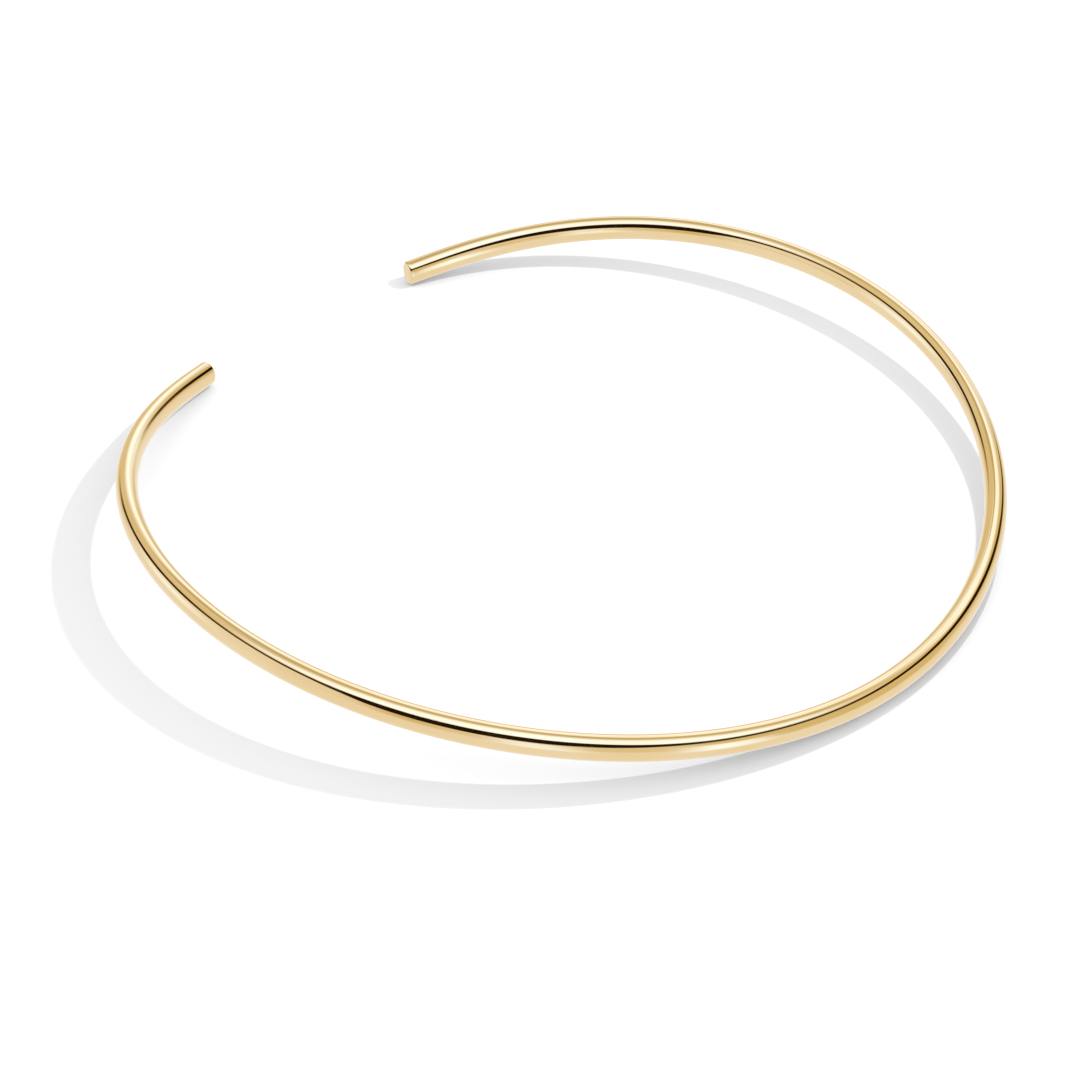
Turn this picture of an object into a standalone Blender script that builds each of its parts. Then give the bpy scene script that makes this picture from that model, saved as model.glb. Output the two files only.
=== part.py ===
"""Open rigid collar necklace: one length of oval gold wire, bent round and cut square at both ends.

Metres, +Z up. The collar lies flat: the middle of its front and both of its ends rest on z = 0,
and its two sides arch clear of the surface. The front is at -Y and the gap between the ends at +Y.
"""
import math

import bpy
import bmesh
import numpy as np

# The wire.
wire_length = 0.3604      # along its centreline as seen from above, end face to end face
wire_across = 0.0033      # section, level way
wire_tall = 0.0040        # section, upright way
edge_round = 0.0003       # rounding where each end face meets the side
short_of_ring = 31.2      # degrees of bend by which the wire stops short of a closed ring

# How high the centreline lifts at the top of each side, above where it rests.
left_arch = 0.0070        # the side at -X
right_arch = 0.0060       # the side at +X
front_power = 2.0         # how gently the wire leaves the surface at the front
end_power = 1.26          # how gently it comes down again at the ends

# How tightly the wire is bent in plan, as a share of its mean bend, which is about 63 mm in radius.
# Both halves are alike: place runs from the middle of the front (0) to an end face (1).
bend_table = [
    {"place": 0.00, "bend": 1.11},
    {"place": 0.20, "bend": 0.92},
    {"place": 0.45, "bend": 0.94},
    {"place": 0.70, "bend": 1.05},
    {"place": 0.85, "bend": 1.13},
    {"place": 1.00, "bend": 0.89},
]

# Facets.
section_sides = 20        # a multiple of 4, so that the oval has corners at its lowest and widest
path_steps = 120          # even, so that one ring stands at the middle of the front
fine_steps = 16           # steps of the sums along the path, for each ring
round_steps = 3           # facets of each rounded edge
crease = 40               # degrees between facets that shade as a corner


def clear_scene():
    for item in list(bpy.data.objects):
        bpy.data.objects.remove(item, do_unlink=True)


def gold():
    """Polished yellow gold plating."""
    material = bpy.data.materials.new("gold_plate")
    material.use_nodes = True
    shader = material.node_tree.nodes["Principled BSDF"]
    shader.inputs["Base Color"].default_value = (0.86, 0.63, 0.30, 1.0)
    shader.inputs["Metallic"].default_value = 1.0
    shader.inputs["Roughness"].default_value = 0.12
    return material


def bend_at(place):
    """Bend at each place along a half: a cubic through the table's rows, level at the front."""
    knots = np.array([row["place"] for row in bend_table])
    bends = np.array([row["bend"] for row in bend_table])
    slopes = np.gradient(bends, knots)
    slopes[0] = 0.0
    row = np.clip(np.searchsorted(knots, place, side="right") - 1, 0, len(knots) - 2)
    span = knots[row + 1] - knots[row]
    t = (place - knots[row]) / span
    return ((2 * t ** 3 - 3 * t ** 2 + 1) * bends[row]
            + (t ** 3 - 2 * t ** 2 + t) * span * slopes[row]
            + (3 * t ** 2 - 2 * t ** 3) * bends[row + 1]
            + (t ** 3 - t ** 2) * span * slopes[row + 1])


def running_sum(values, step):
    """Trapezium sum along the path, nought at the middle."""
    sums = np.concatenate([[0.0], np.cumsum((values[1:] + values[:-1]) / 2) * step])
    return sums - sums[len(sums) // 2]


def centreline(places):
    """Points and unit tangents at signed places, -1 at one end face and +1 at the other.

    The heading is the sum of the bend along the wire, and it turns by a ring less short_of_ring from
    end to end. The plan is the sum of the heading. The height above the rest is
    place ** front_power * (1 - place) ** end_power, scaled so that it peaks at the side's arch.
    """
    count = path_steps * fine_steps
    fine = np.linspace(-1.0, 1.0, count + 1)
    step = wire_length / count
    heading = running_sum(bend_at(np.abs(fine)), step)
    heading *= math.radians(360 - short_of_ring) / (heading[-1] - heading[0])
    x = running_sum(np.cos(heading), step)
    y = running_sum(np.sin(heading), step)
    half = np.abs(fine)
    peak = front_power / (front_power + end_power)
    rise = (half / peak) ** front_power * ((1.0 - half) / (1.0 - peak)) ** end_power
    z = wire_tall / 2 + rise * np.where(fine < 0, left_arch, right_arch)
    points = np.stack([x, y, z], axis=1)
    tangents = np.gradient(points, step, axis=0)
    points = np.stack([np.interp(places, fine, points[:, i]) for i in range(3)], axis=1)
    tangents = np.stack([np.interp(places, fine, tangents[:, i]) for i in range(3)], axis=1)
    return points, tangents / np.linalg.norm(tangents, axis=1, keepdims=True)


def ring(point, tangent, inset):
    """Corners of the upright oval section, made smaller all round by inset."""
    level = np.cross(tangent, (0.0, 0.0, 1.0))
    level /= np.linalg.norm(level)
    upright = np.cross(level, tangent)
    corners = []
    for i in range(section_sides):
        angle = 2 * math.pi * i / section_sides
        corners.append(point + (wire_across / 2 - inset) * math.sin(angle) * level
                       - (wire_tall / 2 - inset) * math.cos(angle) * upright)
    return corners


def wire_rings():
    """Rings along the wire: a rounded edge, the long run, and the other rounded edge."""
    half = wire_length / 2
    body = np.linspace(-1.0, 1.0, path_steps + 1) * (1.0 - edge_round / half)
    turns = [math.pi / 2 * (i + 1) / round_steps for i in range(round_steps)]
    cut = [1.0 - edge_round * (1.0 - math.sin(a)) / half for a in turns]
    insets = [edge_round * (1.0 - math.cos(a)) for a in turns]
    places = np.concatenate([-np.array(cut[::-1]), body, np.array(cut)])
    inset = insets[::-1] + [0.0] * len(body) + insets
    points, tangents = centreline(places)
    return [ring(*row) for row in zip(points, tangents, inset)]


def collar_wire():
    mesh = bpy.data.meshes.new("collar_wire")
    bm = bmesh.new()
    rings = [[bm.verts.new(corner) for corner in corners] for corners in wire_rings()]
    for near, far in zip(rings, rings[1:]):
        for i in range(section_sides):
            j = (i + 1) % section_sides
            bm.faces.new((near[i], near[j], far[j], far[i]))
    bm.faces.new(rings[0][::-1])
    bm.faces.new(rings[-1])
    bmesh.ops.recalc_face_normals(bm, faces=bm.faces)
    low = np.min([v.co for v in bm.verts], axis=0)
    high = np.max([v.co for v in bm.verts], axis=0)
    to_origin = (-(low[0] + high[0]) / 2, -(low[1] + high[1]) / 2, -low[2])
    bmesh.ops.translate(bm, verts=bm.verts, vec=to_origin)
    bm.to_mesh(mesh)
    bm.free()
    mesh.shade_smooth()
    mesh.set_sharp_from_angle(angle=math.radians(crease))
    mesh.materials.append(gold())
    wire = bpy.data.objects.new("collar_wire", mesh)
    bpy.context.scene.collection.objects.link(wire)
    return wire


clear_scene()
collar_wire()
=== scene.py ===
import math

import bpy
import numpy as np
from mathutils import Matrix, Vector


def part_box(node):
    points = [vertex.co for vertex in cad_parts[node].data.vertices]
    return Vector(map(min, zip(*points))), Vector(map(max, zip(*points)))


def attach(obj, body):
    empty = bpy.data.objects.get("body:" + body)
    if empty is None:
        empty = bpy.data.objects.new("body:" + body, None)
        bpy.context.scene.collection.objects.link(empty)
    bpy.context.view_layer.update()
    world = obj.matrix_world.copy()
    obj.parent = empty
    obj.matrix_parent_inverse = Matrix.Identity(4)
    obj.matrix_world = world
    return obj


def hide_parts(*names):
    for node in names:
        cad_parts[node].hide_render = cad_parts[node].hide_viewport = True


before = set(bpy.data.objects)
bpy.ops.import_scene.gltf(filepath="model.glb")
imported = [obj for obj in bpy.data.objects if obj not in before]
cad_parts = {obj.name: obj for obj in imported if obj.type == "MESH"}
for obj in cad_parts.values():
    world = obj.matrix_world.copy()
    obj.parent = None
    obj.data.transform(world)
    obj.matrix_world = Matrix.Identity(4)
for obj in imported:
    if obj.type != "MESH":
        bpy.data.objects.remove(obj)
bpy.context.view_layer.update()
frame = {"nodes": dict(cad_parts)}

print("frame loaded:", ", ".join(frame["nodes"]))
scene = bpy.context.scene
scene.view_settings.view_transform = "Standard"   # the floor stays plain white


# The camera, in metres and degrees, as the photograph was taken.
viewPoint = {
    "place": (-0.27618, -0.28347, 0.29496),
    "aim": (-0.01091, -0.00303, 0.0),   # what the middle of the picture looks at
    "angle": 18.568,                    # across the whole picture
    "clipStart": 0.01,                  # nothing nearer than this is drawn
}


def setCamera():
    data = bpy.data.cameras.new("viewPoint")
    data.angle = math.radians(viewPoint["angle"])
    data.clip_start = viewPoint["clipStart"]
    camera = bpy.data.objects.new("viewPoint", data)
    camera.location = viewPoint["place"]
    toAim = Vector(viewPoint["aim"]) - Vector(viewPoint["place"])
    camera.rotation_euler = toAim.to_track_quat("-Z", "Y").to_euler()
    scene.collection.objects.link(camera)
    scene.camera = camera


setCamera()
print("camera set")


# Shader maths as Python expressions. A Term wraps one output socket, and an operator on it adds a node.
class Term:
    def __init__(self, sheet, socket):
        self.sheet = sheet
        self.socket = socket

    def __add__(self, other):
        return self.sheet.math("ADD", self, other)

    def __radd__(self, other):
        return self.sheet.math("ADD", other, self)

    def __sub__(self, other):
        return self.sheet.math("SUBTRACT", self, other)

    def __rsub__(self, other):
        return self.sheet.math("SUBTRACT", other, self)

    def __mul__(self, other):
        return self.sheet.math("MULTIPLY", self, other)

    def __rmul__(self, other):
        return self.sheet.math("MULTIPLY", other, self)

    def __truediv__(self, other):
        return self.sheet.math("DIVIDE", self, other)

    def __rtruediv__(self, other):
        return self.sheet.math("DIVIDE", other, self)


class Sheet:
    def __init__(self, tree):
        self.tree = tree
        tree.nodes.clear()

    # Any node: its type, its settings, which are set first, and the values or links of its sockets.
    # It gives back the output that out names, or a list where out is a tuple of names.
    def add(self, kind, settings=None, sockets=None, out=0):
        node = self.tree.nodes.new(kind)
        for name, value in (settings or {}).items():
            if name == "stops":
                self.setStops(node.color_ramp.elements, value)
            else:
                setattr(node, name, value)
        for name, value in (sockets or {}).items():
            if isinstance(value, Term):
                self.tree.links.new(value.socket, node.inputs[name])
            else:
                node.inputs[name].default_value = value
        if isinstance(out, tuple):
            return [Term(self, node.outputs[name]) for name in out]
        return Term(self, node.outputs[out]) if len(node.outputs) else node

    # A ramp's stops, in order: place and colour. A new ramp has two already.
    def setStops(self, elements, stops):
        for i, (place, colour) in enumerate(stops):
            element = elements[i] if i < 2 else elements.new(1.0)
            element.position = place
            element.color = colour

    def math(self, operation, *values):
        return self.add("ShaderNodeMath", {"operation": operation}, dict(enumerate(values)))

    # 0 below low and 1 above high, with a soft step between.
    def step(self, value, low, high):
        sockets = {"Value": value, "From Min": low, "From Max": high}
        return self.add("ShaderNodeMapRange", {"interpolation_type": "SMOOTHSTEP"}, sockets)

    # 1 between low and high and 0 beyond, with edges as soft as the given width.
    def window(self, value, low, high, soft):
        rise = self.step(value, low - soft / 2, low + soft / 2)
        fall = self.step(value, high - soft / 2, high + soft / 2)
        return rise * (1 - fall)

    # Colours come as three numbers or as a Term. A Mix node takes them at its sockets 6 and 7, and its
    # colour output is 2.
    def mixColour(self, factor, under, over):
        under, over = (c if isinstance(c, Term) else (*c, 1.0) for c in (under, over))
        return self.add("ShaderNodeMix", {"data_type": "RGBA"}, {0: factor, 6: under, 7: over}, out=2)


# The wire, in metres and degrees: the sizes of the CAD solid, at a much finer step.
collarWire = {
    "length": 0.3604,        # along its centreline as seen from above, end face to end face
    "across": 0.0033,        # section, level way
    "tall": 0.0040,          # section, upright way
    "edgeRound": 0.0005,     # where each end face meets the side
    "shortOfRing": 31.2,     # bend by which the wire stops short of a closed ring
    "leftArch": 0.0070,      # lift of the side at -X
    "rightArch": 0.0060,     # lift of the side at +X
    "frontPower": 2.0,       # how gently it leaves the surface at the front
    "endPower": 1.26,        # and how gently it comes down at the ends
    # Place from the middle of the front to an end face, and bend there as a share of the mean bend.
    "bends": [(0.0, 1.11), (0.20, 0.92), (0.45, 0.94), (0.70, 1.05), (0.85, 1.13), (1.0, 0.89)],
    "rings": 1300,           # along the run between the two rounded edges
    "sides": 64,             # around the section
    "pathSteps": 8,          # steps of the path's sums to each ring
    "roundSteps": 8,         # rings on each rounded edge
    "capSteps": 6,           # rings on each end face
}


# The bend at each place: a cubic through the chosen bends, level at the front.
def bendAt(place):
    knots, bends = np.array(collarWire["bends"]).T
    slopes = np.gradient(bends, knots)
    slopes[0] = 0.0
    row = np.clip(np.searchsorted(knots, place, side="right") - 1, 0, len(knots) - 2)
    span = knots[row + 1] - knots[row]
    t = (place - knots[row]) / span
    return ((2 * t ** 3 - 3 * t ** 2 + 1) * bends[row] + (t ** 3 - 2 * t ** 2 + t) * span * slopes[row]
            + (3 * t ** 2 - 2 * t ** 3) * bends[row + 1] + (t ** 3 - t ** 2) * span * slopes[row + 1])


# Trapezium sum along the path, nought at the middle.
def runningSum(values, step):
    sums = np.concatenate([[0.0], np.cumsum((values[1:] + values[:-1]) / 2) * step])
    return sums - sums[len(sums) // 2]


# Centreline points and unit tangents at signed places, -1 and +1 being the end faces. The heading is
# the sum of the bend and the plan is the sum of the heading. The lift is place ** frontPower times
# (1 - place) ** endPower, scaled so that it peaks at the side's arch.
def wirePath(places):
    w = collarWire
    count = w["rings"] * w["pathSteps"]
    fine = np.linspace(-1.0, 1.0, count + 1)
    step = w["length"] / count
    half = np.abs(fine)
    heading = runningSum(bendAt(half), step)
    heading *= math.radians(360 - w["shortOfRing"]) / (heading[-1] - heading[0])
    peak = w["frontPower"] / (w["frontPower"] + w["endPower"])
    lift = (half / peak) ** w["frontPower"] * ((1 - half) / (1 - peak)) ** w["endPower"]
    path = np.stack([
        runningSum(np.cos(heading), step),
        runningSum(np.sin(heading), step),
        w["tall"] / 2 + lift * np.where(fine < 0, w["leftArch"], w["rightArch"]),
    ], axis=1)
    slope = np.gradient(path, step, axis=0)
    points = np.stack([np.interp(places, fine, path[:, i]) for i in range(3)], axis=1)
    tangents = np.stack([np.interp(places, fine, slope[:, i]) for i in range(3)], axis=1)
    return points, tangents / np.linalg.norm(tangents, axis=1, keepdims=True)


# Places and insets of the rings from the middle of one end face to the other: the flat face grows
# from its centre, the edge is a quarter circle, and the long run is evenly spaced.
def ringStations():
    w = collarWire
    reach = w["edgeRound"] / (w["length"] / 2)
    full = w["across"] / 2
    turn = np.linspace(0, math.pi / 2, w["roundSteps"] + 1)[1:]
    edgePlace = 1 - reach * (1 - np.sin(turn))
    edgeInset = w["edgeRound"] * (1 - np.cos(turn))
    capInset = np.linspace(w["edgeRound"], full, w["capSteps"] + 1)[1:-1]
    run = np.linspace(-(1 - reach), 1 - reach, w["rings"])
    endPlace = np.concatenate([edgePlace, np.ones(len(capInset))])
    endInset = np.concatenate([edgeInset, capInset])
    places = np.concatenate([-endPlace[::-1], run, endPlace])
    insets = np.concatenate([endInset[::-1], np.zeros(len(run)), endInset])
    return places, insets


# The wire's surface: an upright oval carried along the path. Point = path + level half-width times
# cos(angle) outwards + upright half-height times sin(angle) up. Each half-size is less the ring's
# inset on the run and the rounded edge, and in one proportion on the end face.
def wireSurface():
    w = collarWire
    places, insets = ringStations()
    points, tangents = wirePath(places)
    outward = np.cross(tangents, (0.0, 0.0, 1.0))
    outward /= np.linalg.norm(outward, axis=1, keepdims=True)
    upward = np.cross(outward, tangents)
    angle = np.linspace(0, 2 * math.pi, w["sides"], endpoint=False)
    level = w["across"] / 2 - insets
    faceShape = (w["tall"] / 2 - w["edgeRound"]) / (w["across"] / 2 - w["edgeRound"])
    upright = np.where(insets > w["edgeRound"], level * faceShape, w["tall"] / 2 - insets)
    grid = (points[:, None, :]
            + (level[:, None] * np.cos(angle))[:, :, None] * outward[:, None, :]
            + (upright[:, None] * np.sin(angle))[:, :, None] * upward[:, None, :])
    return grid, places, points[[0, -1]]


# Quads between neighbouring rings and fans to the two poles, with a UV map in metres: along the wire
# and around it. The seam of the map is at the outer side. The mesh is shifted to the middle of the CAD
# solid's box and onto its lower side.
def wireMesh():
    w = collarWire
    grid, places, poles = wireSurface()
    rings, sides = grid.shape[:2]
    low, high = (np.array(corner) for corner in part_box("collar_wire"))
    flat = grid.reshape(-1, 3)
    centre = (low + high) / 2 - (flat.min(axis=0) + flat.max(axis=0)) / 2
    shift = np.array([centre[0], centre[1], low[2] - flat[:, 2].min()])
    vertices = np.concatenate([flat, poles]) + shift
    ring, side = np.meshgrid(np.arange(rings - 1), np.arange(sides), indexing="ij")
    ring, side = ring.ravel(), side.ravel()
    corners = [(0, 0), (1, 0), (1, 1), (0, 1)]
    quads = np.stack([(ring + r) * sides + (side + s) % sides for r, s in corners], axis=1)
    turn = np.arange(sides)
    after = (turn + 1) % sides
    firstPole, lastPole = rings * sides, rings * sides + 1
    lastRing = (rings - 1) * sides
    firstFan = np.stack([np.full(sides, firstPole), turn, after], axis=1)
    lastFan = np.stack([np.full(sides, lastPole), lastRing + after, lastRing + turn], axis=1)
    mesh = bpy.data.meshes.new("collarWire")
    mesh.from_pydata(vertices, [], quads.tolist() + firstFan.tolist() + lastFan.tolist())
    along = places * w["length"] / 2
    around = math.pi * (w["across"] + w["tall"]) / 2 / sides
    quadUv = np.stack([(along[ring + r], (side + s) * around) for r, s in corners]).transpose(2, 0, 1)
    fanUv = []
    for end, order in ((0, (0, 1)), (-1, (1, 0))):
        rim = [np.stack([np.full(sides, along[end]), (turn + s) * around], axis=1) for s in order]
        middle = np.stack([np.full(sides, along[end]), (turn + 0.5) * around], axis=1)
        fanUv.append(np.stack([middle] + rim, axis=1))
    uv = np.concatenate([quadUv.reshape(-1, 2)] + [part.reshape(-1, 2) for part in fanUv])
    layer = mesh.uv_layers.new(name="wireMap")
    layer.data.foreach_set("uv", uv.astype(np.float32).ravel())
    mesh.shade_smooth()
    mesh.update()
    return mesh


# Polished gold plate.
goldPlate = {
    "gold": (0.835, 0.655, 0.385),
    "deepGold": (0.815, 0.610, 0.325),    # where the plate lies a little thicker
    "deepShare": 0.7,
    "roughness": 0.036,
    "handledRough": 0.030,                # added where handling has dulled it
    "hairRough": 0.08,                    # added along hairline scratches
    "dieRough": 0.02,                     # added by the lines that the drawing die left
    "waveHeight": 0.0000012,              # metres, of the long shallow waves of hand polishing
    "hairHeight": 0.0000004,
    "dieHeight": 0.00000008,
    # Noises in the space of the object: features to the metre, detail, and where it starts and is full.
    "plateNoise": (70, 2, 0.35, 0.65),
    "handledNoise": (190, 4, 0.50, 0.72),
    "waveNoise": (260, 1),
    # Noises on the wire map: features to the metre along and around, detail, turn, start and full.
    "dieNoise": (40, 9000, 2, 0),
    "hairNoise": (120, 5200, 1, 17, 0.66, 0.72),
    "crossHairNoise": (150, 4600, 1, -24, 0.67, 0.73),
    "noiseRoughness": 0.55,
}


def goldMaterial():
    g = goldPlate
    material = bpy.data.materials.new("goldPlate")
    material.use_nodes = True
    s = Sheet(material.node_tree)
    wireMap = s.add("ShaderNodeUVMap", {"uv_map": "wireMap"})
    spot = s.add("ShaderNodeTexCoord", out="Object")

    def cloud(scale, detail):
        return s.add("ShaderNodeTexNoise", {}, {"Vector": spot, "Scale": scale, "Detail": detail})

    def drawn(along, around, detail, turned):
        turn = {"Rotation": (0, 0, math.radians(turned)), "Scale": (along, around, 1)}
        place = s.add("ShaderNodeMapping", {}, {"Vector": wireMap, **turn})
        sockets = {"Vector": place, "Scale": 1.0, "Detail": detail, "Roughness": g["noiseRoughness"]}
        return s.add("ShaderNodeTexNoise", {"noise_dimensions": "2D"}, sockets)

    plate = s.step(cloud(*g["plateNoise"][:2]), *g["plateNoise"][2:])
    handled = s.step(cloud(*g["handledNoise"][:2]), *g["handledNoise"][2:])
    waves = cloud(*g["waveNoise"])
    dieLines = drawn(*g["dieNoise"])
    hair = s.step(drawn(*g["hairNoise"][:4]), *g["hairNoise"][4:])
    crossHair = s.step(drawn(*g["crossHairNoise"][:4]), *g["crossHairNoise"][4:])
    hairs = s.math("MINIMUM", hair + crossHair, 1.0)

    colour = s.mixColour(plate * g["deepShare"], g["gold"], g["deepGold"])
    rough = g["roughness"] + handled * g["handledRough"] + hairs * g["hairRough"] + dieLines * g["dieRough"]
    height = waves * g["waveHeight"] - hairs * g["hairHeight"] + dieLines * g["dieHeight"]
    bump = s.add("ShaderNodeBump", {}, {"Strength": 1.0, "Distance": 1.0, "Height": height})
    sockets = {"Base Color": colour, "Metallic": 1.0, "Roughness": rough, "Normal": bump}
    surface = s.add("ShaderNodeBsdfPrincipled", {}, sockets)
    s.add("ShaderNodeOutputMaterial", {}, {"Surface": surface})
    return material


def makeCollar():
    mesh = wireMesh()
    mesh.materials.append(goldMaterial())
    wire = bpy.data.objects.new("collarWire", mesh)
    scene.collection.objects.link(wire)
    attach(wire, "root")
    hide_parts("collar_wire")
    print("wire made:", len(mesh.polygons), "faces")


makeCollar()


# The floor: a plain pale sheet, which the wire lies on. In metres.
paperFloor = {"halfSize": 3.0, "white": 0.90}


def makeFloor():
    half = paperFloor["halfSize"]
    white = paperFloor["white"]
    mesh = bpy.data.meshes.new("paperFloor")
    corners = [(-half, -half, 0), (half, -half, 0), (half, half, 0), (-half, half, 0)]
    mesh.from_pydata(corners, [], [(0, 1, 2, 3)])
    material = bpy.data.materials.new("paperFloor")
    material.use_nodes = True
    s = Sheet(material.node_tree)
    surface = s.add("ShaderNodeBsdfDiffuse", {}, {"Color": (white, white, white, 1.0)})
    s.add("ShaderNodeOutputMaterial", {}, {"Surface": surface})
    mesh.materials.append(material)
    floor = bpy.data.objects.new("paperFloor", mesh)
    floor.visible_glossy = False      # the studio below gives the wire its reflection of the sheet
    scene.collection.objects.link(floor)


makeFloor()
print("floor laid")


# The studio that the gold reflects, in degrees: azimuth from the camera's side, positive to the
# camera's left, and elevation from the floor.
studio = {
    "cameraSide": 44.3,                   # the camera stands this far round from -Y towards -X
    "room": (0.80, 0.69, 0.41),           # warm, out of the lights
    "shade": (0.66, 0.57, 0.35),          # the far wall, above and beside the back card
    "paper": (1.0, 1.0, 1.0),             # the sheet, as the gold sees it
    "white": (1.26, 1.53, 2.12),          # lit white cards and boxes
    "bright": (1.75, 2.12, 2.95),         # the cards nearest to the lights
    "pale": (0.96, 0.93, 0.86),           # cards that catch less light
    "brown": (0.42, 0.27, 0.09),          # along the edges of the dark gap
    "black": (0.016, 0.007, 0.002),
    "paperTop": -6,                       # where the sheet has quite ended
    "paperSoft": 13,                      # and how softly it ends
    # The box overhead is a level panel. Its first three sizes are shares of its height.
    "boxBack": -0.05,                     # its rear edge, forwards from the object
    "boxSide": 1.00,                      # its edge to each side
    "boxSoft": 0.60,                      # how soft these edges are
    "boxLow": 28,                         # it starts at this elevation
    "boxFull": 34,                        # and is full from here up
    "leastHeight": 0.02,                  # sine of the elevation under which the panel isn't reached
    # Cards: name, azimuth, half width, lower edge, upper edge, softness, how far to the tone, tone.
    "cards": [
        ("farWall", 180, 60, 57, 84, 14, 0.90, "shade"),
        ("leftWall", 138, 34, 28, 62, 34, 0.45, "pale"),
        ("farLow", 160, 32, -14, 24, 20, 0.25, "pale"),
        ("lowFront", -4, 30, -16, 22, 12, 0.55, "pale"),
        ("lowLeft", 84, 44, -20, 26, 16, 0.85, "paper"),
        ("nearPaper", -126, 30, -24, -1, 10, 0.70, "paper"),
        ("backFill", 188, 26, 22, 42, 20, 0.40, "white"),
        ("backCard", 197, 40, 42, 48, 20, 1.00, "bright"),
        ("backGlow", -173, 14, 12, 30, 22, 0.60, "bright"),
        ("rearShade", 161, 14, 38, 64, 8, 1.00, "shade"),
        ("leftGlow", -154, 9, 0, 18, 14, 0.60, "white"),
        ("rightStrip", -37, 8, -30, 5, 15, 1.00, "white"),
        ("frontStrip", 4, 8, -24, 10, 14, 0.65, "white"),
        ("leftStrip", 100, 12, -14, 10, 22, 0.75, "white"),
    ],
    # The dark gap between the cards and the box: azimuth, lower edge, upper edge, darkness.
    "gap": [
        (-150, 4, 8, 0.0), (-137, 1, 13, 0.9), (-120, 7, 31, 1.0), (-105, 17, 37, 1.0), (-90, 25, 39, 1.0),
        (-75, 27, 38, 0.95), (-45, 27, 40, 0.95), (-30, 24, 42, 1.0), (-15, 19, 45, 1.0), (0, 15, 46, 1.0),
        (15, 12, 45, 1.0), (30, 11, 44, 1.0), (40, 13, 43, 1.0), (46, 20, 41, 1.0), (56, 26, 38, 1.0),
        (75, 27, 37, 0.95), (90, 24, 35, 1.0), (105, 18, 32, 1.0), (120, 8, 24, 1.0),
        (132, -2, 12, 0.9), (146, -3, 4, 0.0),
    ],
    "gapSoft": 2.5,
    "brownWide": 1.5,                     # the brown rim reaches this far past the gap
    "brownSoft": 4,
    "brownShare": 0.5,
    "ambient": (1.05, 1.05, 1.055),       # plain light on everything that isn't polished
    "returned": (0.62, 0.79, 1.34),       # what the gold throws back on the sheet, which comes out neutral
    "backdrop": (1.0, 1.0, 1.0),          # behind the floor, as the camera sees it
}


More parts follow.
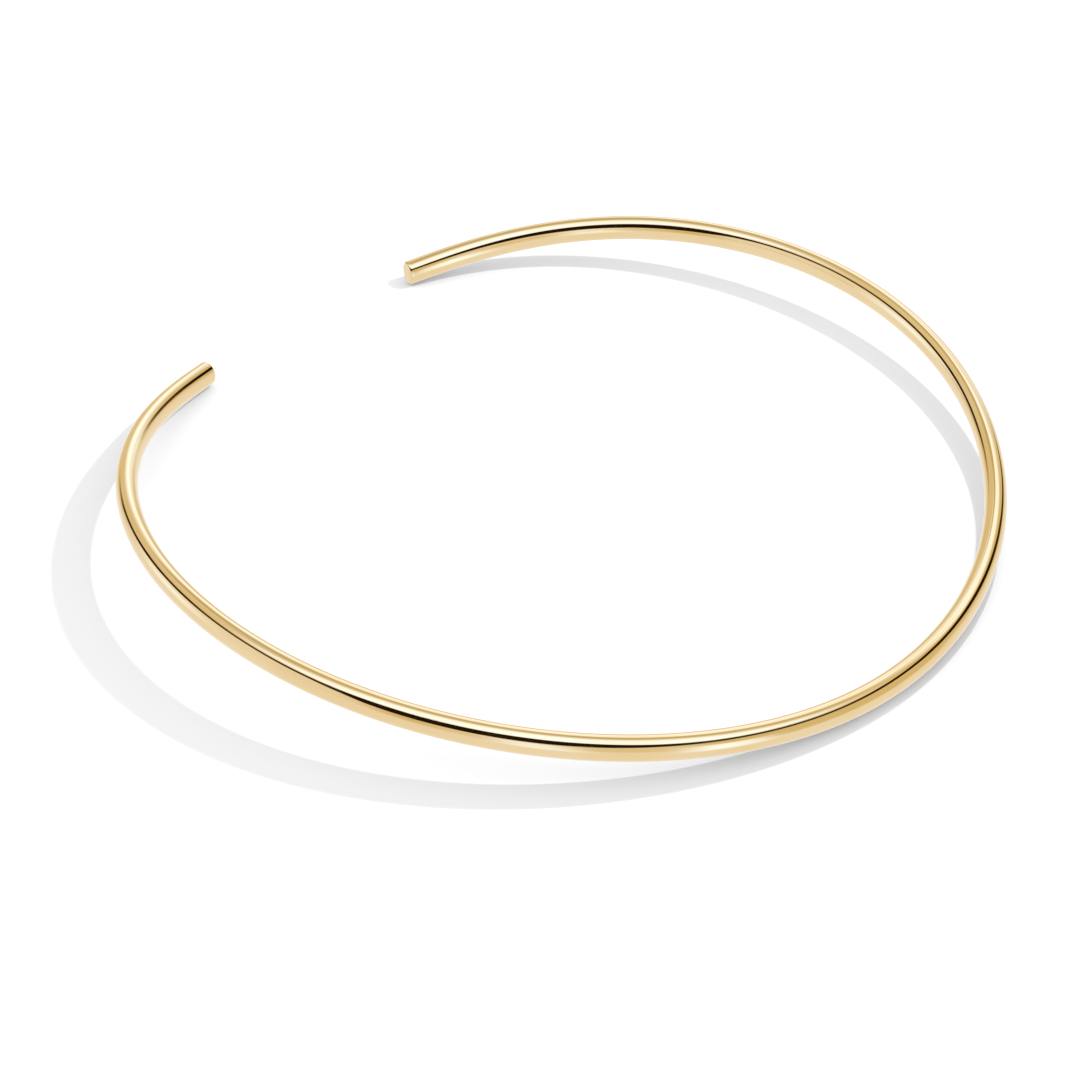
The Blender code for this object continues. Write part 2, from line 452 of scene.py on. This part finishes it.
def buildStudio():
    t = studio
    world = bpy.data.worlds.new("studio")
    world.use_nodes = True
    scene.world = world
    s = Sheet(world.node_tree)
    ray = s.add("ShaderNodeTexCoord", out="Generated")
    x, y, z = s.add("ShaderNodeSeparateXYZ", {}, {"Vector": ray}, out=("X", "Y", "Z"))
    side = math.radians(t["cameraSide"])
    forward = x * -math.sin(side) + y * -math.cos(side)     # towards the camera
    leftward = x * -math.cos(side) + y * math.sin(side)
    azimuth = s.math("ARCTAN2", leftward, forward) * (180 / math.pi)
    elevation = s.math("ARCSINE", z) * (180 / math.pi)

    paperShare = 1 - s.step(elevation, t["paperTop"] - t["paperSoft"], t["paperTop"])
    colour = s.mixColour(paperShare, t["room"], t["paper"])
    for name, centre, half, low, high, soft, amount, tone in t["cards"]:
        away = s.math("ABSOLUTE", s.math("WRAP", azimuth - centre, 180.0, -180.0))
        beside = 1 - s.step(away, half - soft / 2, half + soft / 2)
        card = beside * s.window(elevation, low, high, soft) * amount
        colour = s.mixColour(card, colour, t[tone])
        print("card hung:", name)

    height = s.math("MAXIMUM", z, t["leastHeight"])
    soft = t["boxSoft"] / 2
    fromBack = s.step(forward / height, t["boxBack"] - soft, t["boxBack"] + soft)
    sideShare = s.math("ABSOLUTE", leftward / height)
    inside = 1 - s.step(sideShare, t["boxSide"] - soft, t["boxSide"] + soft)
    box = fromBack * inside * s.step(elevation, t["boxLow"], t["boxFull"])
    colour = s.mixColour(box, colour, t["white"])

    # The ramp runs once round, and holds the gap's edges as shares of the way from straight down to
    # straight up, and its darkness.
    stops = []
    for place, low, high, dark in t["gap"]:
        stops.append((place / 360 + 0.5, ((low + 90) / 180, (high + 90) / 180, dark, 1.0)))
    edges = s.add("ShaderNodeValToRGB", {"stops": stops}, {"Fac": azimuth / 360 + 0.5}, out="Color")
    low, high, dark = s.add("ShaderNodeSeparateColor", {}, {"Color": edges}, out=("Red", "Green", "Blue"))
    overLow = elevation - (low * 180 - 90)
    overHigh = elevation - (high * 180 - 90)

    # 1 in the gap and in a rim of the given width round it, and 0 beyond.
    def inGap(wide, soft):
        above = s.step(overLow, -wide - soft / 2, -wide + soft / 2)
        below = 1 - s.step(overHigh, wide - soft / 2, wide + soft / 2)
        return above * below * dark

    colour = s.mixColour(inGap(t["brownWide"], t["brownSoft"]) * t["brownShare"], colour, t["brown"])
    colour = s.mixColour(inGap(0, t["gapSoft"]), colour, t["black"])

    rayKinds = ("Is Glossy Ray", "Is Camera Ray", "Diffuse Depth")
    glossy, seen, depth = s.add("ShaderNodeLightPath", out=rayKinds)
    plain = s.mixColour(seen, t["ambient"], t["backdrop"])
    mirrored = s.mixColour(s.math("MINIMUM", depth, 1.0), colour, t["returned"])
    shown = s.mixColour(glossy, plain, mirrored)
    light = s.add("ShaderNodeBackground", {}, {"Color": shown, "Strength": 1.0})
    s.add("ShaderNodeOutputWorld", {}, {"Surface": light})


buildStudio()
print("studio built")


# The lamp that casts the crisp shadow, in metres and watts. It doesn't show in the gold.
lamps = {
    "keyLamp": {"place": (0.128, -0.012, 0.163), "power": 14, "radius": 0.004},
}


def placeLamps():
    for name, lamp in lamps.items():
        data = bpy.data.lights.new(name, "POINT")
        data.energy = lamp["power"]
        data.shadow_soft_size = lamp["radius"]
        data.use_nodes = True
        s = Sheet(data.node_tree)
        even = s.add("ShaderNodeLightFalloff", {}, {"Strength": 1.0}, out="Constant")
        glow = s.add("ShaderNodeEmission", {}, {"Strength": even})
        s.add("ShaderNodeOutputLight", {}, {"Surface": glow})
        item = bpy.data.objects.new(name, data)
        item.location = lamp["place"]
        item.visible_glossy = False
        scene.collection.objects.link(item)


placeLamps()
print("lamp placed")
